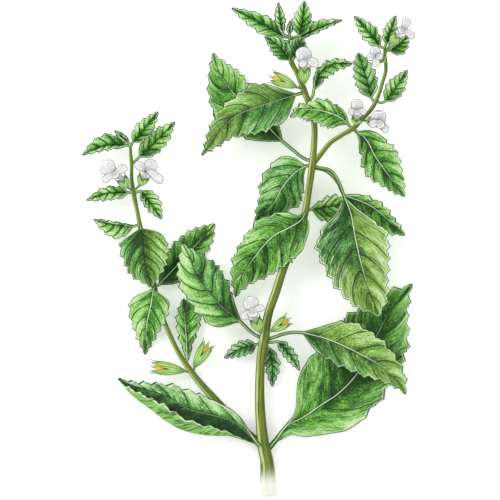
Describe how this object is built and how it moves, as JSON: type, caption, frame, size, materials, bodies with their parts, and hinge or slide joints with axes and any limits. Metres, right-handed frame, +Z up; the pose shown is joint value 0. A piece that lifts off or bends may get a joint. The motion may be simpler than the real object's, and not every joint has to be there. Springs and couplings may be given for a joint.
{
  "type": "lemon balm sprig",
  "caption": "Cut flowering sprig of lemon balm: square branching stems with toothed, veined leaves in pairs, small white two-lipped flowers and open seed calyces.",
  "frame": {"origin": "middle of the flat resting face under the main stem, close to its cut end", "axes": "+Y along the sprig from its cut end to its tip, +Z up from the surface that it lies on, +X to the right as seen from above"},
  "size_m": [0.1597, 0.2378, 0.0372],
  "materials": {
    "stem": "satin",
    "leaf": "matte",
    "dark_leaf": "matte",
    "young_leaf": "matte",
    "calyx": "matte",
    "petal": "matte",
    "nutlet": "satin"
  },
  "bodies": {
    "root": {"main_stem": "stem", "left_shoot": "stem", "right_shoot": "stem", "basal_leaf_left": "dark_leaf", "basal_leaf_right": "leaf", "middle_leaf_right": "leaf", "middle_leaf_left": "leaf", "small_leaf_left": "dark_leaf", "small_leaf_centre": "dark_leaf", "small_leaf_right": "dark_leaf", "upper_leaf_left": "leaf", "upper_leaf_right": "leaf", "fork_leaf_left_front": "leaf", "fork_leaf_left_back": "leaf", "fork_leaf_right_front": "leaf", "fork_leaf_right_back": "leaf", "crown_leaf_left": "leaf", "crown_leaf_right": "leaf", "crown_bract_left": "young_leaf", "crown_bract_right": "young_leaf", "right_shoot_leaf_left": "leaf", "right_shoot_leaf_right": "leaf", "right_shoot_bract_left": "leaf", "right_shoot_bract_right": "leaf", "left_shoot_leaf_low": "leaf", "left_shoot_leaf_back": "leaf", "left_shoot_leaf_hanging": "leaf", "left_shoot_leaf_front": "leaf", "left_shoot_leaf_side": "leaf", "left_shoot_bract_right": "leaf", "left_shoot_bract_left": "leaf", "left_shoot_bract_top": "leaf", "crown_tip_leaves": "young_leaf", "right_shoot_tip_leaves": "young_leaf", "left_shoot_tip_leaves": "young_leaf", "middle_flower_calyx": "calyx", "middle_flower_corolla": "petal", "crown_flower_calyx": "calyx", "crown_flower_corolla": "petal", "fork_flower_left_calyx": "calyx", "fork_flower_left_corolla": "petal", "fork_flower_right_calyx": "calyx", "fork_flower_right_corolla": "petal", "right_shoot_flower_low_calyx": "calyx", "right_shoot_flower_low_corolla": "petal", "right_shoot_flower_top_calyx": "calyx", "right_shoot_flower_top_corolla": "petal", "left_shoot_flower_left_calyx": "calyx", "left_shoot_flower_left_corolla": "petal", "left_shoot_flower_right_calyx": "calyx", "left_shoot_flower_right_corolla": "petal", "crown_fruit_calyx": "calyx", "crown_fruit_nutlets": "nutlet", "low_fruit_left_calyx": "calyx", "low_fruit_left_nutlets": "nutlet", "low_fruit_right_calyx": "calyx", "low_fruit_right_nutlets": "nutlet", "middle_fruit_calyx": "calyx", "middle_fruit_nutlets": "nutlet"}
  },
  "joints": []
}
